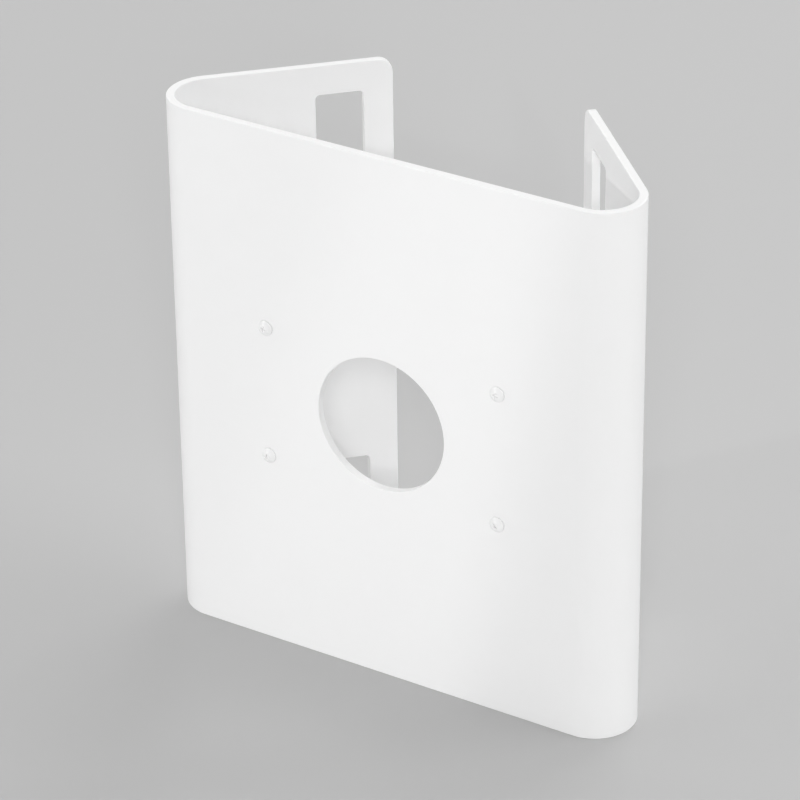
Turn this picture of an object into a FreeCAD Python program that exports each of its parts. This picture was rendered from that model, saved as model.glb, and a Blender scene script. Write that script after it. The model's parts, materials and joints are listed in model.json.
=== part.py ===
import FreeCAD, Part
import math
import os

# Camera pole mount. One steel sheet is folded twice into a shallow channel: a flat front that
# carries a camera, two rounded bends, and two flanges that lean in towards the pole behind it.
# Steel bands go through the slots in the flanges and round the pole, the camera's cable comes
# through the round hole, and four round head screws wait in tapped holes for the camera's base.
#
# The origin is the middle of the cable hole on the front face. X runs to the right of someone
# who faces the mount, Y runs back to the pole and Z runs up. Lengths are in millimetres.

# Sheet
SHEET_THICKNESS = 3.0
SHEET_HEIGHT = 200.0
FRONT_WIDTH = 152.0
INSIDE_BEND_RADIUS = 12.0
FLANGE_LEAN_DEG = 44.5
FLANGE_LENGTH = 66.5
FLANGE_CORNER_RADIUS = 5.0

# Band slots, two in each flange
SLOT_WIDTH = 17.0
SLOT_HEIGHT = 33.0
SLOT_CORNER_RADIUS = 1.5
SLOT_TO_REAR_EDGE = 10.5
SLOT_TO_SHEET_END = 11.0

# Cable hole
CABLE_HOLE_DIAMETER = 50.0

# Camera screws, four on a rectangle round the cable hole
SCREW_SPACING_ACROSS = 92.0
SCREW_SPACING_UP = 50.0
SCREW_DIAMETER = 3.0
SCREW_LENGTH = 8.0
SCREW_TIP_CHAMFER = 0.4
SCREW_HOLE_CLEARANCE = 0.1
HEAD_DIAMETER = 5.6
HEAD_HEIGHT = 1.6
HEAD_CROWN_RADIUS = 3.9
RECESS_SPAN = 2.2
RECESS_BLADE_THICKNESS = 0.5
RECESS_DEPTH = 0.7
RECESS_TAPER_DEG = 13.0

# How far a cutting tool runs past each face that it opens
CUT_MARGIN = 1.0

X_AXIS = FreeCAD.Vector(1, 0, 0)
Y_AXIS = FreeCAD.Vector(0, 1, 0)
Z_AXIS = FreeCAD.Vector(0, 0, 1)
LEFT, RIGHT = -1, 1
BOTTOM, TOP = -1, 1

OUTSIDE_BEND_RADIUS = INSIDE_BEND_RADIUS + SHEET_THICKNESS
BEND_TURN = math.radians(90 + FLANGE_LEAN_DEG)


def bend_point(side, radius, turn):
    """A point on a bend in plan. The front ends at a turn of 0 and the flange starts at BEND_TURN."""
    x = FRONT_WIDTH / 2 + radius * math.sin(turn)
    y = OUTSIDE_BEND_RADIUS - radius * math.cos(turn)
    return FreeCAD.Vector(side * x, y, 0)


def flange_frame(side, radius):
    """The place where a flange starts at this radius from its bend's centre, with X along the flange."""
    turned = FreeCAD.Rotation(Z_AXIS, 90 + side * FLANGE_LEAN_DEG)
    return FreeCAD.Placement(bend_point(side, radius, BEND_TURN), turned)


def skin(radius):
    """One face of the sheet in plan: the edges from the left flange's rear to the right one's."""
    halves = {}
    for side in (LEFT, RIGHT):
        front_end = bend_point(side, radius, 0)
        flange_start = bend_point(side, radius, BEND_TURN)
        flange_rear = flange_frame(side, radius).multVec(X_AXIS * FLANGE_LENGTH)
        bend = Part.Arc(front_end, bend_point(side, radius, BEND_TURN / 2), flange_start)
        flange = Part.LineSegment(flange_start, flange_rear)
        halves[side] = [bend.toShape(), flange.toShape()]
    front = Part.LineSegment(bend_point(LEFT, radius, 0), bend_point(RIGHT, radius, 0))
    return halves[LEFT][::-1] + [front.toShape()] + halves[RIGHT]


def rear_edge(side):
    """The cut end of a flange in plan."""
    ends = []
    for radius in (OUTSIDE_BEND_RADIUS, INSIDE_BEND_RADIUS):
        ends.append(flange_frame(side, radius).multVec(X_AXIS * FLANGE_LENGTH))
    return Part.LineSegment(ends[0], ends[1]).toShape()


def folded_sheet():
    """The sheet with its bends, before any hole is cut."""
    outline = skin(OUTSIDE_BEND_RADIUS) + [rear_edge(RIGHT)]
    outline += skin(INSIDE_BEND_RADIUS)[::-1] + [rear_edge(LEFT)]
    section = Part.Face(Part.Wire(outline))
    section.translate(Z_AXIS * (-SHEET_HEIGHT / 2))
    return section.extrude(Z_AXIS * SHEET_HEIGHT)


def rear_corners(sheet):
    """The four short edges that run through the sheet at the flanges' rear corners."""
    found = []
    for side in (LEFT, RIGHT):
        through = rear_edge(side)
        for end in (BOTTOM, TOP):
            middle = through.CenterOfMass + Z_AXIS * (end * SHEET_HEIGHT / 2)
            found.append(min(sheet.Edges, key=lambda edge: edge.CenterOfMass.distanceToPoint(middle)))
    return found


def slot_tool():
    """A block with round corners that cuts one band slot, centred on the sheet's thickness."""
    depth = SHEET_THICKNESS + 2 * CUT_MARGIN
    corner = FreeCAD.Vector(-SLOT_WIDTH / 2, -depth / 2, -SLOT_HEIGHT / 2)
    block = Part.makeBox(SLOT_WIDTH, depth, SLOT_HEIGHT, corner)
    through = [edge for edge in block.Edges if edge.tangentAt(0).cross(Y_AXIS).Length < 1e-6]
    return block.makeFillet(SLOT_CORNER_RADIUS, through)


def slot_tools():
    """The four slot tools, each square to its own flange."""
    tools = []
    along = FLANGE_LENGTH - SLOT_TO_REAR_EDGE - SLOT_WIDTH / 2
    up = SHEET_HEIGHT / 2 - SLOT_TO_SHEET_END - SLOT_HEIGHT / 2
    for side in (LEFT, RIGHT):
        middle_of_sheet = flange_frame(side, INSIDE_BEND_RADIUS + SHEET_THICKNESS / 2)
        for end in (BOTTOM, TOP):
            tool = slot_tool()
            in_flange = FreeCAD.Placement(FreeCAD.Vector(along, 0, end * up), FreeCAD.Rotation())
            tool.Placement = middle_of_sheet.multiply(in_flange)
            tools.append(tool)
    return tools


def front_hole_tool(diameter, centre):
    """A cylinder that cuts a round hole straight through the front."""
    start = centre - Y_AXIS * CUT_MARGIN
    return Part.makeCylinder(diameter / 2, SHEET_THICKNESS + 2 * CUT_MARGIN, start, Y_AXIS)


def screw_places():
    """The middle of each camera screw on the front face."""
    places = []
    for side in (LEFT, RIGHT):
        for end in (BOTTOM, TOP):
            x = side * SCREW_SPACING_ACROSS / 2
            z = end * SCREW_SPACING_UP / 2
            places.append(FreeCAD.Vector(x, 0, z))
    return places


def folded_plate():
    """The whole plate: the folded sheet with rounded rear corners, band slots and holes."""
    sheet = folded_sheet()
    sheet = sheet.makeFillet(FLANGE_CORNER_RADIUS, rear_corners(sheet))
    tools = slot_tools()
    tools.append(front_hole_tool(CABLE_HOLE_DIAMETER, FreeCAD.Vector()))
    for place in screw_places():
        tools.append(front_hole_tool(SCREW_DIAMETER + 2 * SCREW_HOLE_CLEARANCE, place))
    return sheet.cut(tools)


def recess_outline(height):
    """The cross of the driver recess, as wide as its taper makes it at this height over the seat."""
    narrower = (HEAD_HEIGHT - height) * math.tan(math.radians(RECESS_TAPER_DEG))
    arm = RECESS_SPAN / 2 - narrower
    blade = RECESS_BLADE_THICKNESS / 2
    quarter = [(arm, -blade), (arm, blade), (blade, blade)]
    points = []
    for quarter_turn in range(4):
        turned = FreeCAD.Rotation(Z_AXIS, 90 * quarter_turn)
        for x, y in quarter:
            points.append(turned.multVec(FreeCAD.Vector(x, y, height)))
    return Part.makePolygon(points + points[:1])


def round_head_screw():
    """One screw that stands on its seat: head above the XY plane, shank below it, axis on Z."""
    head = HEAD_DIAMETER / 2
    shank = SCREW_DIAMETER / 2
    crown_centre = HEAD_HEIGHT - HEAD_CROWN_RADIUS
    crown_height = {}
    for radius in (head, head / 2):
        crown_height[radius] = crown_centre + math.sqrt(HEAD_CROWN_RADIUS**2 - radius**2)
    crown = Part.Arc(
        FreeCAD.Vector(0, 0, HEAD_HEIGHT),
        FreeCAD.Vector(head / 2, 0, crown_height[head / 2]),
        FreeCAD.Vector(head, 0, crown_height[head]),
    )
    sides = Part.makePolygon(
        [
            FreeCAD.Vector(head, 0, crown_height[head]),
            FreeCAD.Vector(head, 0, 0),
            FreeCAD.Vector(shank, 0, 0),
            FreeCAD.Vector(shank, 0, SCREW_TIP_CHAMFER - SCREW_LENGTH),
            FreeCAD.Vector(shank - SCREW_TIP_CHAMFER, 0, -SCREW_LENGTH),
            FreeCAD.Vector(0, 0, -SCREW_LENGTH),
            FreeCAD.Vector(0, 0, HEAD_HEIGHT),
        ]
    )
    half_section = Part.Face(Part.Wire([crown.toShape()] + sides.Edges))
    body = half_section.revolve(FreeCAD.Vector(), Z_AXIS, 360)
    floor = recess_outline(HEAD_HEIGHT - RECESS_DEPTH)
    mouth = recess_outline(HEAD_HEIGHT + CUT_MARGIN)
    return body.cut(Part.makeLoft([floor, mouth], True))


def camera_screws():
    """The four screws, each a solid of its own, seated on the front with its head forward."""
    screws = []
    for place in screw_places():
        screw = round_head_screw()
        screw.Placement = FreeCAD.Placement(place, FreeCAD.Rotation(X_AXIS, 90))
        screws.append(screw)
    return Part.makeCompound(screws)


NODES = {
    "folded_plate": folded_plate(),
    "camera_screws": camera_screws(),
}

os.makedirs("parts", exist_ok=True)
for name, shape in NODES.items():
    shape.exportStep(f"parts/{name}.step")
    print(name, "solids", len(shape.Solids), "valid", shape.isValid(), "volume", round(shape.Volume, 1))
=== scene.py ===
"""Looks of a camera pole mount: a folded steel plate with a white powder coat and its four screws.

The plate is drawn as the flat blank that a cutter would make, given rounded edges, and then folded
into the shape of the CAD part. Each screw gets its driver recess and its thread. Everything is in
metres and in the frame of the CAD part: X to the right, Y back to the pole and Z up.
"""

import json
import logging
import math
from dataclasses import dataclass
from enum import Enum

import bmesh
import bpy
from mathutils import Matrix, Vector
from mathutils.geometry import delaunay_2d_cdt


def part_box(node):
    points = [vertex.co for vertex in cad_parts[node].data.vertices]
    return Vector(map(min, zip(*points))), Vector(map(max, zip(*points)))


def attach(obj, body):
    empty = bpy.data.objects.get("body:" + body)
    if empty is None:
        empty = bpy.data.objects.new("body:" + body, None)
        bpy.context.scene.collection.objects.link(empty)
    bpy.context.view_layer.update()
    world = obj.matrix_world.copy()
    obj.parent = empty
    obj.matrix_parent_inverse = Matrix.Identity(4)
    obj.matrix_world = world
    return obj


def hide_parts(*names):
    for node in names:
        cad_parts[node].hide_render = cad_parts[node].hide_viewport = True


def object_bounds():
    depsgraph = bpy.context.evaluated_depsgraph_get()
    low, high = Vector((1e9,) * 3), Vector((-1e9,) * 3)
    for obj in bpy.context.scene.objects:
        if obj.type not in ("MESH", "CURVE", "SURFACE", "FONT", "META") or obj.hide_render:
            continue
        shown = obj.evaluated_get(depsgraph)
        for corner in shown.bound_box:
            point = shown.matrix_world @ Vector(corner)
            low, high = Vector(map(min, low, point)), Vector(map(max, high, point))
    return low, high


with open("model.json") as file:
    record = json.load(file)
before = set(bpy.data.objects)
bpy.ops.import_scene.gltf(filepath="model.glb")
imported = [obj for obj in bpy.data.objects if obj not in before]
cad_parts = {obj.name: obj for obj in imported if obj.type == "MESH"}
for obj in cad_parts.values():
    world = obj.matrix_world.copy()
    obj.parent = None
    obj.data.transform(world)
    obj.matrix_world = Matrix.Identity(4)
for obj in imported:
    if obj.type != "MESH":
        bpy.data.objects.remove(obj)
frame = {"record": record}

CAD_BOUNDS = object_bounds()
MM = 0.001
LOG = logging.getLogger("camera_pole_mount")

Point = tuple[float, float]

# Two points of an outline that are nearer than this are one point.
SAME_POINT = 1e-8

# A point that is nearer to a fold line than this is on it.
ON_FOLD_LINE = 1e-9

# All triangles within the blank's outline, and none outside it.
TRIANGLES_INSIDE = 1


class Side(Enum):
    """The two sides of the mount, with the sign of X on each."""

    LEFT = -1
    RIGHT = 1


class End(Enum):
    """The two ends of the mount, with the sign of Z on each."""

    BOTTOM = -1
    TOP = 1


class Tree:
    """A material's or the world's nodes, with short ways to add them and to join them."""

    def __init__(self, owner: bpy.types.ID) -> None:
        """Start an empty tree.

        Args:
            owner: the material or world whose nodes are written.
        """
        owner.use_nodes = True
        self.nodes = owner.node_tree.nodes
        self.links = owner.node_tree.links
        self.nodes.clear()

    def add(self, kind: str, **values: object) -> bpy.types.Node:
        """Add a node.

        Args:
            kind: the node's type, such as Bump, without the words ShaderNode before it.
            values: the node's settings in small letters, and the values of its input sockets with
                a capital letter first and an underscore for each space.

        Returns:
            The new node.
        """
        node = self.nodes.new("ShaderNode" + kind)
        for name, value in values.items():
            if name[0].isupper():
                node.inputs[name.replace("_", " ")].default_value = value
            else:
                setattr(node, name, value)
        return node

    def join(self, start: bpy.types.NodeSocket, end: bpy.types.NodeSocket) -> None:
        """Link an output socket to an input socket."""
        self.links.new(start, end)

    def seen(self) -> bpy.types.NodeSocket:
        """Tell the rays that show a thing from those that carry its light.

        Returns:
            A socket that is 1 for a ray from the camera or from a reflection, and otherwise 0.
        """
        path = self.add("LightPath")
        seen = path.outputs["Is Camera Ray"]
        for kind in ("Is Glossy Ray", "Is Transmission Ray"):
            either = self.add("Math", operation="ADD", use_clamp=True)
            self.join(seen, either.inputs[0])
            self.join(path.outputs[kind], either.inputs[1])
            seen = either.outputs["Value"]
        return seen

    def mix(
        self, share: bpy.types.NodeSocket, first: bpy.types.Node, second: bpy.types.Node
    ) -> bpy.types.Node:
        """Mix two shaders.

        Args:
            share: a socket that gives the second shader's share.
            first: the first shader.
            second: the second shader.

        Returns:
            The node of the mixed shader.
        """
        mixed = self.add("MixShader")
        self.join(share, mixed.inputs["Fac"])
        self.join(first.outputs[0], mixed.inputs[1])
        self.join(second.outputs[0], mixed.inputs[2])
        return mixed


@dataclass(frozen=True)
class PowderCoat:
    """Baked powder coat: semi-gloss, with the faint orange peel of powder that has flowed out.

    Attributes:
        name: the material's name.
        colour: the coat's own colour, linear.
        shade: how much darker the coat is where it is thin, as a share of the colour.
        roughness: the roughness of the coat.
        roughness_spread: how far the roughness varies from place to place.
        peel_pitch: the width of one wave of the orange peel.
        peel_height: the height of one wave.
        grain_pitch: the width of the fine grain on the waves.
        grain_height: the height of the fine grain.
        refraction: the coat's refractive index.
        cloud_waves: how many waves of orange peel a thin or a thick patch is wide.
        cloud_detail: how finely the thin and thick patches are broken up.
        wave_detail: how finely the waves and the grain are broken up.
    """

    name: str
    colour: tuple[float, float, float]
    shade: float
    roughness: float
    roughness_spread: float
    peel_pitch: float
    peel_height: float
    grain_pitch: float
    grain_height: float
    refraction: float = 1.5
    cloud_waves: float = 10.0
    cloud_detail: float = 3.0
    wave_detail: float = 2.0

    def material(self) -> bpy.types.Material:
        """Write the coat's shader.

        Returns:
            The new material.
        """
        material = bpy.data.materials.new(self.name)
        tree = Tree(material)
        place = tree.add("TexCoord").outputs["Object"]
        output = tree.add("OutputMaterial")
        shader = tree.add("BsdfPrincipled", IOR=self.refraction)
        tree.join(shader.outputs["BSDF"], output.inputs["Surface"])

        cloud_pitch = self.cloud_waves * self.peel_pitch
        cloud = tree.add("TexNoise", Scale=1 / cloud_pitch, Detail=self.cloud_detail)
        tree.join(place, cloud.inputs["Vector"])
        thin = [channel * (1 - self.shade) for channel in self.colour]
        tint = tree.add("ValToRGB")
        tint.color_ramp.elements[0].color = (*thin, 1.0)
        tint.color_ramp.elements[1].color = (*self.colour, 1.0)
        tree.join(cloud.outputs["Fac"], tint.inputs["Fac"])
        tree.join(tint.outputs["Color"], shader.inputs["Base Color"])

        gloss = tree.add("MapRange")
        gloss.inputs["To Min"].default_value = self.roughness - self.roughness_spread
        gloss.inputs["To Max"].default_value = self.roughness + self.roughness_spread
        tree.join(cloud.outputs["Fac"], gloss.inputs["Value"])
        tree.join(gloss.outputs["Result"], shader.inputs["Roughness"])

        peel = self._waves(tree, place, self.peel_pitch, self.peel_height)
        grain = self._waves(tree, place, self.grain_pitch, self.grain_height)
        tree.join(peel.outputs["Normal"], grain.inputs["Normal"])
        tree.join(grain.outputs["Normal"], shader.inputs["Normal"])
        return material

    def _waves(
        self, tree: Tree, place: bpy.types.NodeSocket, pitch: float, height: float
    ) -> bpy.types.Node:
        """Add one layer of waves to the surface.

        Args:
            tree: the material's nodes.
            place: the socket that gives the place on the surface.
            pitch: the width of one wave.
            height: the height of one wave.

        Returns:
            The bump node, whose own Normal input is still free.
        """
        waves = tree.add("TexNoise", Scale=1 / pitch, Detail=self.wave_detail)
        tree.join(place, waves.inputs["Vector"])
        bump = tree.add("Bump", Distance=height)
        tree.join(waves.outputs["Fac"], bump.inputs["Height"])
        return bump


@dataclass(frozen=True)
class MattPaper:
    """The matt, pale paper of the studio floor.

    The paper throws light back onto the mount as white paper does, and is itself seen a little
    darker, so that a white part stands out from it. Far from the mount it runs over into the
    backdrop, so that no horizon shows.

    Attributes:
        name: the material's name.
        colour: the colour that it throws back, linear.
        seen_colour: the colour that is seen, straight or in a reflection.
        roughness: its roughness.
        backdrop_colour: the backdrop's own even colour, linear.
        backdrop_from: how far from the mount the paper starts to run over into the backdrop.
        backdrop_at: how far from the mount only the backdrop is seen.
    """

    name: str
    colour: tuple[float, float, float]
    seen_colour: tuple[float, float, float]
    roughness: float
    backdrop_colour: tuple[float, float, float]
    backdrop_from: float
    backdrop_at: float

    def material(self) -> bpy.types.Material:
        """Write the paper's shader.

        Returns:
            The new material.
        """
        material = bpy.data.materials.new(self.name)
        tree = Tree(material)
        lit = self._sheet(tree, self.colour)
        near = self._sheet(tree, self.seen_colour)
        backdrop = tree.add("Emission", Color=(*self.backdrop_colour, 1.0))
        shown = tree.mix(self._distance_share(tree), near, backdrop)
        paper = tree.mix(tree.seen(), lit, shown)
        output = tree.add("OutputMaterial")
        tree.join(paper.outputs["Shader"], output.inputs["Surface"])
        return material

    def _sheet(self, tree: Tree, colour: tuple[float, float, float]) -> bpy.types.Node:
        """Add the shader of plain paper in this colour."""
        return tree.add("BsdfPrincipled", Base_Color=(*colour, 1.0), Roughness=self.roughness)

    def _distance_share(self, tree: Tree) -> bpy.types.NodeSocket:
        """Add the backdrop's share, which grows with the distance from the mount.

        Args:
            tree: the material's nodes.

        Returns:
            A socket that is 0 near the mount and 1 far from it.
        """
        distance = tree.add("VectorMath", operation="LENGTH")
        tree.join(tree.add("TexCoord").outputs["Object"], distance.inputs["Vector"])
        share = tree.add("MapRange", interpolation_type="SMOOTHSTEP")
        share.inputs["From Min"].default_value = self.backdrop_from
        share.inputs["From Max"].default_value = self.backdrop_at
        tree.join(distance.outputs["Value"], share.inputs["Value"])
        return share.outputs["Result"]


WHITE_COAT = PowderCoat(
    name="white_powder_coat",
    colour=(0.88, 0.88, 0.88),
    shade=0.012,
    roughness=0.3,
    roughness_spread=0.03,
    peel_pitch=1.6 * MM,
    peel_height=0.004 * MM,
    grain_pitch=0.3 * MM,
    grain_height=0.0008 * MM,
)
SCREW_COAT = PowderCoat(
    name="white_screw_coat",
    colour=(0.88, 0.88, 0.88),
    shade=0.03,
    roughness=0.22,
    roughness_spread=0.02,
    peel_pitch=0.6 * MM,
    peel_height=0.004 * MM,
    grain_pitch=0.12 * MM,
    grain_height=0.001 * MM,
)
FLOOR_PAPER = MattPaper(
    name="pale_paper",
    colour=(0.85, 0.85, 0.85),
    seen_colour=(0.5, 0.5, 0.5),
    roughness=0.9,
    backdrop_colour=(0.56, 0.56, 0.56),
    backdrop_from=0.7,
    backdrop_at=1.8,
)


def mount_dims(name: str) -> dict[str, float]:
    """The measured sizes of one of the part's mounts, in millimetres.

    Args:
        name: the mount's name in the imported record.

    Returns:
        Its sizes by name.
    """
    mounts = frame["record"]["mounts"]
    return next(mount["dims"] for mount in mounts if mount["name"] == name)


def screw_place(side: Side, end: End) -> Point:
    """Where a camera screw's axis crosses the front.

    Args:
        side: the side that the screw is on.
        end: the end that the screw is nearer to.

    Returns:
        The place across and up the front.
    """
    sizes = mount_dims("camera_screws")
    across = side.value * sizes["spacing_x_mm"] / 2 * MM
    up = end.value * sizes["spacing_y_mm"] / 2 * MM
    return across, up


def add_object(name: str, mesh: bpy.types.Mesh, finish: PowderCoat | MattPaper) -> bpy.types.Object:
    """Put a mesh into the scene, smoothly shaded and in its finish.

    Args:
        name: the object's name.
        mesh: its mesh, in place.
        finish: the finish of all its faces.

    Returns:
        The new object.
    """
    made = bpy.data.objects.new(name, mesh)
    bpy.context.scene.collection.objects.link(made)
    known = bpy.data.materials.get(finish.name)
    mesh.materials.clear()
    mesh.materials.append(known or finish.material())
    mesh.shade_smooth()
    return made


@dataclass(frozen=True)
class RoundedOutline:
    """A closed outline in the flat blank: a rectangle with round corners, or a circle.

    Attributes:
        centre: the outline's middle, across and up the blank.
        half_width: half its size across the blank.
        half_height: half its size up the blank.
        radius: its corner radius. A circle's is half its size.
        corner_steps: how many straight pieces each corner has.
        stations: places across the blank where both long edges have one more point.
    """

    centre: Point
    half_width: float
    half_height: float
    radius: float
    corner_steps: int
    stations: tuple[float, ...] = ()

    def points(self, grow: float) -> list[Point]:
        """The outline, counter-clockwise from the start of its lower right corner.

        Args:
            grow: how far to move the outline out from its middle, or in where this is negative.

        Returns:
            The points across and up the blank.
        """
        reach = self.half_height + grow
        top = [(across, self.centre[1] + reach) for across in reversed(self.stations)]
        bottom = [(across, self.centre[1] - reach) for across in self.stations]
        made = self._corner(Side.RIGHT, End.BOTTOM, -90, grow)
        made += self._corner(Side.RIGHT, End.TOP, 0, grow)
        made += top
        made += self._corner(Side.LEFT, End.TOP, 90, grow)
        made += self._corner(Side.LEFT, End.BOTTOM, 180, grow)
        made += bottom
        before = made[-1:] + made
        return [point for point, last in zip(made, before) if math.dist(point, last) > SAME_POINT]

    def _corner(self, side: Side, end: End, first_deg: float, grow: float) -> list[Point]:
        """One round corner, counter-clockwise.

        Args:
            side: the side that the corner is on.
            end: the end that the corner is at.
            first_deg: the direction from the corner's centre to its first point.
            grow: how far the outline is moved out from its middle.

        Returns:
            The corner's points.
        """
        middle_across = self.centre[0] + side.value * (self.half_width - self.radius)
        middle_up = self.centre[1] + end.value * (self.half_height - self.radius)
        made = []
        for step in range(self.corner_steps + 1):
            angle = math.radians(first_deg + 90 * step / self.corner_steps)
            across = middle_across + (self.radius + grow) * math.cos(angle)
            up = middle_up + (self.radius + grow) * math.sin(angle)
            made.append((across, up))
        return made


def round_hole(centre: Point, radius: float, quarter_steps: int) -> RoundedOutline:
    """The outline of a round hole in the blank.

    Args:
        centre: its middle, across and up the blank.
        radius: its radius.
        quarter_steps: how many straight pieces each quarter has.

    Returns:
        The hole's outline.
    """
    return RoundedOutline(centre, radius, radius, radius, quarter_steps)


@dataclass(frozen=True)
class Bend:
    """The two rounded bends between the front and the flanges, as the sheet's fold rule.

    Attributes:
        start: how far from the middle of the front each bend starts.
        outside_radius: the radius of the outer face.
        thickness: the sheet's thickness.
        turn: how far the sheet turns, in radians.
        steps: how many straight pieces each bend has.
    """

    start: float
    outside_radius: float
    thickness: float
    turn: float
    steps: int

    @property
    def length(self) -> float:
        """The length of one bend in the flat blank, along the middle of the sheet."""
        return (self.outside_radius - self.thickness / 2) * self.turn

    def stations(self) -> tuple[float, ...]:
        """The places across the blank where the bends' straight pieces meet, from left to right."""
        right = [self.start + self.length * step / self.steps for step in range(self.steps + 1)]
        return (*[-across for across in reversed(right)], *right)

    def fold(self, across: float, up: float, depth: float) -> Vector:
        """Where a point of the flat blank lies on the folded plate.

        Args:
            across: the point's place across the blank, from the middle of the front.
            up: its height.
            depth: its distance from the outer face, into the sheet.

        Returns:
            The point in the part's frame.
        """
        side = math.copysign(1, across)
        along = abs(across) - self.start
        angle = self.turn * min(max(along / self.length, 0), 1)
        straight = max(along - self.length, 0)
        radius = self.outside_radius - depth
        x = min(abs(across), self.start) + radius * math.sin(angle) + straight * math.cos(angle)
        y = self.outside_radius - radius * math.cos(angle) + straight * math.sin(angle)
        return Vector((side * x, y, up))


@dataclass
class FoldedPlate:
    """The sheet that the whole mount is folded from.

    Attributes:
        bend_radius: the radius inside each bend.
        lean_deg: how far the flanges lean in from straight back, in degrees.
        corner_radius: the radius of the flanges' rear corners.
        slot_width: a band slot's size along its flange.
        slot_height: a band slot's size upwards.
        slot_radius: the radius of a band slot's corners.
        slot_to_rear: from a band slot to the flange's rear edge.
        slot_to_end: from a band slot to the top or bottom of the plate.
        screw_hole_radius: the radius of the holes that the camera screws sit in.
        edge_radius: how far the coat rounds every cut edge.
        edge_steps: how many straight pieces that rounding has.
        bend_steps: how many straight pieces each bend has.
        corner_steps: how many straight pieces each rear corner has.
        slot_corner_steps: how many straight pieces each corner of a slot has.
        cable_hole_steps: how many straight pieces each quarter of the cable hole has.
        screw_hole_steps: how many straight pieces each quarter of a screw hole has.
    """

    bend_radius: float = 12 * MM
    lean_deg: float = 44.5
    corner_radius: float = 5 * MM
    slot_width: float = 17 * MM
    slot_height: float = 33 * MM
    slot_radius: float = 1.5 * MM
    slot_to_rear: float = 10.5 * MM
    slot_to_end: float = 11 * MM
    screw_hole_radius: float = 1.6 * MM
    edge_radius: float = 0.35 * MM
    edge_steps: int = 4
    bend_steps: int = 48
    corner_steps: int = 10
    slot_corner_steps: int = 6
    cable_hole_steps: int = 32
    screw_hole_steps: int = 10

    def __post_init__(self) -> None:
        """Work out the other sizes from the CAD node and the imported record."""
        low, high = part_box("folded_plate")
        hole = mount_dims("cable_hole")
        self.hole_radius = hole["r_mm"] * MM
        self.thickness = hole["length_mm"] * MM
        self.half_height = (high.z - low.z) / 2
        outside = self.bend_radius + self.thickness
        lean = math.radians(self.lean_deg)
        straight_back = high.y - outside * (1 + math.sin(lean))
        self.flange_length = straight_back / math.cos(lean)
        turn = math.pi / 2 + lean
        self.bend = Bend(high.x - outside, outside, self.thickness, turn, self.bend_steps)

    def blank(self) -> RoundedOutline:
        """The outline of the flat blank, with a point on each fold line of the bends."""
        half_width = self.bend.start + self.bend.length + self.flange_length
        return RoundedOutline(
            centre=(0.0, 0.0),
            half_width=half_width,
            half_height=self.half_height,
            radius=self.corner_radius,
            corner_steps=self.corner_steps,
            stations=self.bend.stations(),
        )

    def cut_outs(self) -> list[RoundedOutline]:
        """Place the cable hole, the four screw holes and the four band slots.

        Returns:
            Their outlines in the flat blank.
        """
        half_slot_width = self.slot_width / 2
        half_slot_height = self.slot_height / 2
        flange_start = self.bend.start + self.bend.length
        slot_across = flange_start + self.flange_length - self.slot_to_rear - half_slot_width
        slot_up = self.half_height - self.slot_to_end - half_slot_height
        made = [round_hole((0.0, 0.0), self.hole_radius, self.cable_hole_steps)]
        for side in Side:
            for end in End:
                screw_hole = round_hole(
                    screw_place(side, end), self.screw_hole_radius, self.screw_hole_steps
                )
                slot = RoundedOutline(
                    centre=(side.value * slot_across, end.value * slot_up),
                    half_width=half_slot_width,
                    half_height=half_slot_height,
                    radius=self.slot_radius,
                    corner_steps=self.slot_corner_steps,
                )
                made += [screw_hole, slot]
        return made

    def rim(self) -> list[Point]:
        """Round the section of a cut edge as the coat does.

        Returns:
            The section's points from the outer face to the inner one, each as the distance in from
            the edge and the depth into the sheet.
        """
        rounding = []
        for step in range(self.edge_steps + 1):
            angle = math.pi / 2 * step / self.edge_steps
            inset = self.edge_radius * (1 - math.sin(angle))
            depth = self.edge_radius * (1 - math.cos(angle))
            rounding.append((inset, depth))
        return rounding + [(inset, self.thickness - depth) for inset, depth in reversed(rounding)]

    def build(self) -> bpy.types.Object:
        """Make the folded plate.

        Returns:
            The plate's object, in its finish.
        """
        plate = add_object("plate", self._folded_mesh(), WHITE_COAT)
        plate.modifiers.new("even_shading", "WEIGHTED_NORMAL")
        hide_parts("folded_plate")
        return plate

    def _folded_mesh(self) -> bpy.types.Mesh:
        """Close the two faces of the sheet with its cut edges, all of it folded.

        Returns:
            The plate's mesh, closed.
        """
        rim = self.rim()
        loops = [(self.blank(), -1)] + [(cut_out, 1) for cut_out in self.cut_outs()]
        vertices: list[Vector] = []
        faces: list[tuple[int, ...]] = []
        skin: list[Point] = []
        front_index: list[int] = []
        back_index: list[int] = []
        loop_of: list[int] = []
        for number, (outline, outward) in enumerate(loops):
            first = len(vertices)
            for inset, depth in rim:
                points = outline.points(outward * inset)
                if outward > 0:
                    points.reverse()
                vertices += [self.bend.fold(across, up, depth) for across, up in points]
                if depth == 0:
                    skin += points
            count = len(points)
            front_index += range(first, first + count)
            back_index += range(first + count * (len(rim) - 1), first + count * len(rim))
            loop_of += [number] * count
            for step in range(len(rim) - 1):
                for point in range(count):
                    here = first + step * count + point
                    beside = first + step * count + (point + 1) % count
                    faces.append((here, here + count, beside + count, beside))
        for triangle in self._skin_triangles(skin, loop_of):
            faces.append(tuple(front_index[point] for point in triangle))
            faces.append(tuple(back_index[point] for point in reversed(triangle)))
        mesh = bpy.data.meshes.new("plate")
        mesh.from_pydata(vertices, [], faces)
        mesh.validate()
        return mesh

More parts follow.
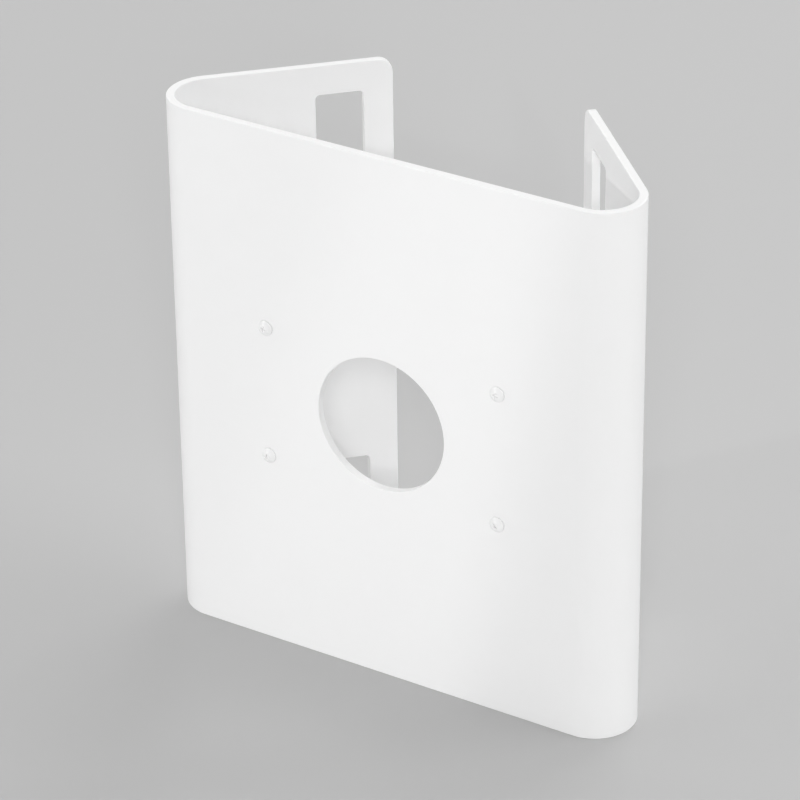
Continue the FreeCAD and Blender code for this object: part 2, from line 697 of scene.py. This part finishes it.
    def _skin_triangles(self, skin: list[Point], loop_of: list[int]) -> list[list[int]]:
        """Fill the blank between its outline and its cut-outs, with an edge on each fold line.

        Args:
            skin: the points of all outlines, the blank's own first.
            loop_of: the number of the outline that each point is on.

        Returns:
            The triangles, as places in the list of points.
        """
        edges = []
        first = 0
        for point, loop in enumerate(loop_of):
            ends_here = point + 1 == len(loop_of) or loop_of[point + 1] != loop
            edges.append((point, first if ends_here else point + 1))
            if ends_here:
                first = point + 1
        for fold_line in self.bend.stations():
            ends = []
            for point, (across, _) in enumerate(skin):
                if loop_of[point] == 0 and abs(across - fold_line) < ON_FOLD_LINE:
                    ends.append(point)
            edges.append(tuple(ends))
        vectors = [Vector(place) for place in skin]
        _, _, triangles, source, _, _ = delaunay_2d_cdt(
            vectors, edges, [], TRIANGLES_INSIDE, ON_FOLD_LINE
        )
        kept = []
        for triangle in triangles:
            points = [source[corner][0] for corner in triangle]
            loops = {loop_of[point] for point in points}
            if loops == {0} or len(loops) > 1:
                kept.append(points)
        return kept


@dataclass
class RoundHeadScrew:
    """One camera screw, with its head above the XY plane and its shank below it.

    Attributes:
        shank_radius: the radius over the thread.
        length: the length under the head.
        head_height: the height of the head.
        crown_radius: the radius of the head's crown.
        rim_radius: how far the coat rounds the head's rim.
        foot_inset: how far in the middle of the rounding at the head's seat lies, as a share of it.
        thread_pitch: from one turn of the thread to the next.
        thread_depth: the depth of the thread.
        plain_length: the length under the head that stays without a thread.
        tip_chamfer: the chamfer at the tip.
        recess_span: the size of the driver recess across two wings, at the top of the head.
        recess_blade: the thickness of a wing.
        recess_depth: the depth of the recess.
        recess_taper_deg: how far the ends of the wings lean in.
        recess_start: how far above the top of the head the cut for the recess starts.
        soft_edge: how far the coat softens the edges of the screw.
        soft_edge_deg: the least angle of the edges that it softens.
        soft_edge_steps: how many straight pieces a softened edge has.
        crown_steps: how many straight pieces the crown has from its middle to its edge.
        rim_steps: how many straight pieces the rounding of the rim has.
        thread_steps: how many rows of points each turn of the thread has.
        around: how many straight pieces go round the screw.
    """

    shank_radius: float = 1.5 * MM
    length: float = 8 * MM
    head_height: float = 1.6 * MM
    crown_radius: float = 3.9 * MM
    rim_radius: float = 0.2 * MM
    foot_inset: float = 0.3
    thread_pitch: float = 0.5 * MM
    thread_depth: float = 0.28 * MM
    plain_length: float = 2.2 * MM
    tip_chamfer: float = 0.4 * MM
    recess_span: float = 2.2 * MM
    recess_blade: float = 0.5 * MM
    recess_depth: float = 0.7 * MM
    recess_taper_deg: float = 13
    recess_start: float = 1 * MM
    soft_edge: float = 0.05 * MM
    soft_edge_deg: float = 50
    soft_edge_steps: int = 2
    crown_steps: int = 8
    rim_steps: int = 6
    thread_steps: int = 10
    around: int = 40

    def __post_init__(self) -> None:
        """Read the head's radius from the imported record."""
        self.head_radius = mount_dims("camera_screws")["stud_r_mm"] * MM

    def crown_height(self, radius: float) -> float:
        """The height of the crown at this distance from the axis."""
        return self.head_height - self.crown_radius + math.sqrt(self.crown_radius**2 - radius**2)

    def head_section(self) -> list[Point]:
        """Draw one side of the head: its crown, its rounded rim and its foot.

        Returns:
            The outline's points from next to the axis to the seat, as radius and height.
        """
        made = []
        crown_edge = self.head_radius - self.rim_radius
        for step in range(1, self.crown_steps + 1):
            radius = crown_edge * step / self.crown_steps
            made.append((radius, self.crown_height(radius)))
        rim_centre = self.crown_height(crown_edge) - self.rim_radius
        for step in range(1, self.rim_steps + 1):
            angle = math.pi / 2 * step / self.rim_steps
            radius = crown_edge + self.rim_radius * math.sin(angle)
            made.append((radius, rim_centre + self.rim_radius * math.cos(angle)))
        foot = self.rim_radius / 2
        made.append((self.head_radius, foot))
        made.append((self.head_radius - foot * self.foot_inset, foot * self.foot_inset))
        made.append((self.head_radius - foot, 0.0))
        return made

    def thread_radius(self, height: float, angle: float) -> float:
        """The shank's radius at a place on its side.

        Args:
            height: the height, which is below zero under the head.
            angle: the direction from the axis, in radians.

        Returns:
            The radius there.
        """
        phase = (height / self.thread_pitch - angle / (2 * math.pi)) % 1
        groove = 1 - abs(2 * phase - 1)
        below_plain = -height - self.plain_length
        depth = self.thread_depth * min(max(below_plain / self.thread_pitch, 0), 1)
        to_tip = self.length + height
        chamfered = self.shank_radius - self.tip_chamfer + to_tip
        return min(self.shank_radius - depth * groove, chamfered)

    def build(self) -> bpy.types.Mesh:
        """Make the screw with its recess and its thread.

        Returns:
            The screw's mesh, closed.
        """
        rings: list[list[Vector]] = []
        for radius, height in self.head_section():
            rings.append([self._at(radius, height, step) for step in range(self.around)])
        rows = round(self.length / self.thread_pitch * self.thread_steps)
        for row in range(rows + 1):
            height = -self.length * row / rows
            ring = []
            for step in range(self.around):
                angle = 2 * math.pi * step / self.around
                ring.append(self._at(self.thread_radius(height, angle), height, step))
            rings.append(ring)
        body = bmesh.new()
        top = body.verts.new((0, 0, self.head_height))
        tip = body.verts.new((0, 0, -self.length))
        grid = [[body.verts.new(point) for point in ring] for ring in rings]
        for step in range(self.around):
            beside = (step + 1) % self.around
            body.faces.new((top, grid[0][step], grid[0][beside]))
            body.faces.new((tip, grid[-1][beside], grid[-1][step]))
            for upper, lower in zip(grid, grid[1:]):
                body.faces.new((upper[step], lower[step], lower[beside], upper[beside]))
        mesh = bpy.data.meshes.new("camera_screw")
        body.to_mesh(mesh)
        body.free()
        return self._with_recess(mesh)

    def _at(self, radius: float, height: float, step: int) -> Vector:
        """A point at this radius and height, this many steps round the axis."""
        angle = 2 * math.pi * step / self.around
        return Vector((radius * math.cos(angle), radius * math.sin(angle), height))

    def _recess_ring(self, height: float) -> list[Vector]:
        """The cross of the recess at a height over the seat.

        Args:
            height: the height, where the wings have their full span at the top of the head.

        Returns:
            The twelve corners of the cross.
        """
        lean = math.tan(math.radians(self.recess_taper_deg))
        arm = self.recess_span / 2 - (self.head_height - height) * lean
        blade = self.recess_blade / 2
        made = []
        for quarter in range(4):
            turned = Matrix.Rotation(math.pi / 2 * quarter, 3, "Z")
            for x, y in ((arm, -blade), (arm, blade), (blade, blade)):
                made.append(turned @ Vector((x, y, height)))
        return made

    def _with_recess(self, mesh: bpy.types.Mesh) -> bpy.types.Mesh:
        """Cut the driver recess into the head.

        Args:
            mesh: the screw with a whole crown, which is used up.

        Returns:
            The screw with its recess.
        """
        cutter = bmesh.new()
        mouth_ring = self._recess_ring(self.head_height + self.recess_start)
        floor_ring = self._recess_ring(self.head_height - self.recess_depth)
        mouth = [cutter.verts.new(point) for point in mouth_ring]
        floor = [cutter.verts.new(point) for point in floor_ring]
        cutter.faces.new(mouth)
        cutter.faces.new(reversed(floor))
        for upper, lower, next_upper, next_lower in zip(
            mouth, floor, mouth[1:] + mouth[:1], floor[1:] + floor[:1]
        ):
            cutter.faces.new((upper, lower, next_lower, next_upper))
        cutter_mesh = bpy.data.meshes.new("recess_cutter")
        cutter.to_mesh(cutter_mesh)
        cutter.free()
        screw = bpy.data.objects.new("whole_screw", mesh)
        tool = bpy.data.objects.new("recess_cutter", cutter_mesh)
        for part in (screw, tool):
            bpy.context.scene.collection.objects.link(part)
        cut = screw.modifiers.new("recess", "BOOLEAN")
        cut.operation = "DIFFERENCE"
        cut.solver = "EXACT"
        cut.object = tool
        soften = screw.modifiers.new("soft_edges", "BEVEL")
        soften.width = self.soft_edge
        soften.segments = self.soft_edge_steps
        soften.limit_method = "ANGLE"
        soften.angle_limit = math.radians(self.soft_edge_deg)
        shapes = bpy.context.evaluated_depsgraph_get()
        finished = bpy.data.meshes.new_from_object(screw.evaluated_get(shapes))
        for part in (screw, tool):
            bpy.data.objects.remove(part)
        return finished


@dataclass
class CameraScrews:
    """The four screws round the cable hole.

    Attributes:
        screw: the screw that all four are copies of.
        turns_deg: how far each screw is turned in its hole.
    """

    screw: RoundHeadScrew
    turns_deg: tuple[float, ...] = (20, 65, 41, 78)

    def build(self) -> list[bpy.types.Object]:
        """Make the four screws, seated on the front with their heads forward.

        Returns:
            The screws' objects, in their finish.
        """
        whole = self.screw.build()
        places = [(side, end) for side in Side for end in End]
        made = []
        for (side, end), turn_deg in zip(places, self.turns_deg):
            across, up = screw_place(side, end)
            seat = Vector((across, 0, up))
            forward = Matrix.Rotation(math.pi / 2, 4, "X")
            turn = Matrix.Rotation(math.radians(turn_deg), 4, "Z")
            mesh = whole.copy()
            mesh.transform(Matrix.Translation(seat) @ forward @ turn)
            name = f"camera_screw_{side.name}_{end.name}".lower()
            screw = add_object(name, mesh, SCREW_COAT)
            screw.modifiers.new("even_shading", "WEIGHTED_NORMAL")
            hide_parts("camera_screws")
            made.append(screw)
        return made


def round_the_mount(azimuth_deg: float, elevation_deg: float, distance: float) -> Vector:
    """A place in the studio, as seen from the middle of the mount.

    Args:
        azimuth_deg: 0 straight in front, 90 to the right and 180 behind.
        elevation_deg: the angle above the horizon.
        distance: how far away the place is.

    Returns:
        The place.
    """
    azimuth = math.radians(azimuth_deg)
    elevation = math.radians(elevation_deg)
    level = distance * math.cos(elevation)
    height = distance * math.sin(elevation)
    return Vector((level * math.sin(azimuth), -level * math.cos(azimuth), height))


def hang_lamp(
    lamp: bpy.types.Light, power: float, place: Vector, target: Vector
) -> bpy.types.Object:
    """Hang a lamp in the studio, where the lamp itself is seen in reflections at most.

    Args:
        lamp: the lamp.
        power: its power in watts.
        place: where it hangs.
        target: the point that it faces.

    Returns:
        The lamp's object.
    """
    lamp.energy = power
    made = bpy.data.objects.new(lamp.name, lamp)
    bpy.context.scene.collection.objects.link(made)
    made.location = place
    made.rotation_euler = (place - target).to_track_quat("Z", "Y").to_euler()
    made.visible_camera = False
    return made


@dataclass(frozen=True)
class SoftBox:
    """One soft studio lamp, which faces the middle of the mount.

    Attributes:
        name: the lamp's name.
        azimuth_deg: where it hangs: 0 straight in front, 90 to the right and 180 behind.
        elevation_deg: its angle above the horizon.
        distance: how far away it is.
        width: its size across.
        height: its size upwards.
        power: its power in watts.
        mirrored: whether glossy surfaces mirror it.
    """

    name: str
    azimuth_deg: float
    elevation_deg: float
    distance: float
    width: float
    height: float
    power: float
    mirrored: bool = True

    def build(self) -> bpy.types.Object:
        """Put the lamp into the scene.

        Returns:
            The lamp's object.
        """
        lamp = bpy.data.lights.new(self.name, "AREA")
        lamp.shape = "RECTANGLE"
        lamp.size = self.width
        lamp.size_y = self.height
        place = round_the_mount(self.azimuth_deg, self.elevation_deg, self.distance)
        made = hang_lamp(lamp, self.power, place, Vector())
        made.visible_glossy = self.mirrored
        return made


@dataclass(frozen=True)
class EdgedLamp:
    """A small lamp, some way off, whose beam ends on the front along a soft, slanted line.

    Attributes:
        name: the lamp's name.
        azimuth_deg: where it hangs: 0 straight in front, 90 to the right and -90 to the left.
        elevation_deg: its angle above the horizon.
        distance: how far away it is.
        target: the middle of its beam, far to one side of the mount.
        beam_deg: the angle across the beam.
        softness: the share of the beam that fades towards its edge.
        radius: the size of the lamp itself.
        power: its power in watts.
    """

    name: str
    azimuth_deg: float
    elevation_deg: float
    distance: float
    target: tuple[float, float, float]
    beam_deg: float
    softness: float
    radius: float
    power: float

    def build(self) -> bpy.types.Object:
        """Put the lamp into the scene.

        Returns:
            The lamp's object.
        """
        lamp = bpy.data.lights.new(self.name, "SPOT")
        lamp.spot_size = math.radians(self.beam_deg)
        lamp.spot_blend = self.softness
        lamp.shadow_soft_size = self.radius
        place = round_the_mount(self.azimuth_deg, self.elevation_deg, self.distance)
        return hang_lamp(lamp, self.power, place, Vector(self.target))


@dataclass
class Studio:
    """The floor with the even backdrop behind it, the light of the room and the lamps.

    Attributes:
        floor_radius: the radius of the floor.
        floor_sides: how many straight pieces go round the floor.
        room_light: the brightness of the room's walls.
        lamps: the lamps.
    """

    floor_radius: float = 6.0
    floor_sides: int = 96
    room_light: float = 0.35
    lamps: tuple[SoftBox | EdgedLamp, ...] = (
        # Soft lamps: azimuth, elevation, distance, width, height and power.
        SoftBox("front_lamp", 32.6, 30, 2.0, 0.35, 0.35, 11.7),
        SoftBox("left_lamp", -60, 45, 1.8, 1.2, 1.2, 5.3),
        SoftBox("low_left_lamp", -28, 6, 1.8, 1.0, 0.4, 1.5),
        SoftBox("right_rear_lamp", 120, 35, 1.8, 1.2, 1.2, 8.9),
        SoftBox("left_rear_lamp", -120, 35, 1.8, 1.2, 1.2, 5.3),
        SoftBox("high_rear_lamp", 180, 50, 1.8, 1.2, 1.2, 9.8),
        SoftBox("low_rear_lamp", 180, 2, 3.0, 1.6, 0.34, 16.4, mirrored=False),
        # Edged lamps: azimuth, elevation, distance, target, beam, softness, radius and power.
        EdgedLamp("left_edged_lamp", -35, 15, 3.2, (-2.375, 0.0, 0.668), 100, 0.019, 0.01, 53.6),
        EdgedLamp("right_edged_lamp", 35, 25, 3.2, (2.557, 0.0, -0.153), 100, 0.025, 0.012, 25.6),
    )

    def build(self) -> None:
        """Lay the floor, light the room and hang the lamps."""
        floor_height = CAD_BOUNDS[0].z
        disc = bmesh.new()
        bmesh.ops.create_circle(
            disc, cap_ends=True, segments=self.floor_sides, radius=self.floor_radius
        )
        bmesh.ops.translate(disc, verts=disc.verts, vec=(0, 0, floor_height))
        mesh = bpy.data.meshes.new("floor")
        disc.to_mesh(mesh)
        disc.free()
        add_object("floor", mesh, FLOOR_PAPER)
        world = bpy.data.worlds.new("studio_room")
        bpy.context.scene.world = world
        tree = Tree(world)
        walls = tree.add("Background", Color=(1.0, 1.0, 1.0, 1.0), Strength=self.room_light)
        backdrop = tree.add("Background", Color=(*FLOOR_PAPER.backdrop_colour, 1.0))
        output = tree.add("OutputWorld")
        shown = tree.mix(tree.seen(), walls, backdrop)
        tree.join(shown.outputs["Shader"], output.inputs["Surface"])
        for lamp in self.lamps:
            lamp.build()


@dataclass(frozen=True)
class Camera:
    """The camera, where the photograph was taken from.

    Attributes:
        place: the lens, in the part's frame.
        yaw_deg: how far it looks to the left of straight back.
        pitch_deg: how far it looks above the horizon.
        roll_deg: how far it leans to the left.
        focal_px: the focal length in pixels of the photograph.
        picture_width_px: the width of the photograph in pixels.
        sensor_width_mm: the width of the sensor.
    """

    place: tuple[float, float, float] = (629.11 * MM, -984.39 * MM, 655.45 * MM)
    yaw_deg: float = 32.252
    pitch_deg: float = -28.930
    roll_deg: float = -0.716
    focal_px: float = 3951.0
    picture_width_px: float = 800.0
    sensor_width_mm: float = 36.0

    def build(self) -> bpy.types.Object:
        """Set the camera up and make it the scene's camera.

        Returns:
            The camera's object.
        """
        lens = bpy.data.cameras.new("photo_camera")
        lens.sensor_width = self.sensor_width_mm
        lens.lens = self.focal_px * self.sensor_width_mm / self.picture_width_px
        made = bpy.data.objects.new("photo_camera", lens)
        bpy.context.scene.collection.objects.link(made)
        yaw = Matrix.Rotation(math.radians(self.yaw_deg), 4, "Z")
        pitch = Matrix.Rotation(math.radians(90 + self.pitch_deg), 4, "X")
        roll = Matrix.Rotation(math.radians(self.roll_deg), 4, "Z")
        made.matrix_world = Matrix.Translation(self.place) @ yaw @ pitch @ roll
        bpy.context.scene.camera = made
        return made


def main() -> None:
    """Build the mount, the studio and the camera, and report each piece."""
    logging.basicConfig(level=logging.INFO, format="%(message)s")
    bpy.context.scene.view_settings.view_transform = "Standard"
    pieces = [FoldedPlate().build(), *CameraScrews(RoundHeadScrew()).build()]
    for piece in pieces:
        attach(piece, "root")
        size = [round(length / MM, 2) for length in piece.dimensions]
        LOG.info("%s: %d faces, %s mm", piece.name, len(piece.data.polygons), size)
    Studio().build()
    Camera().build()


if __name__ == "__main__":
    main()
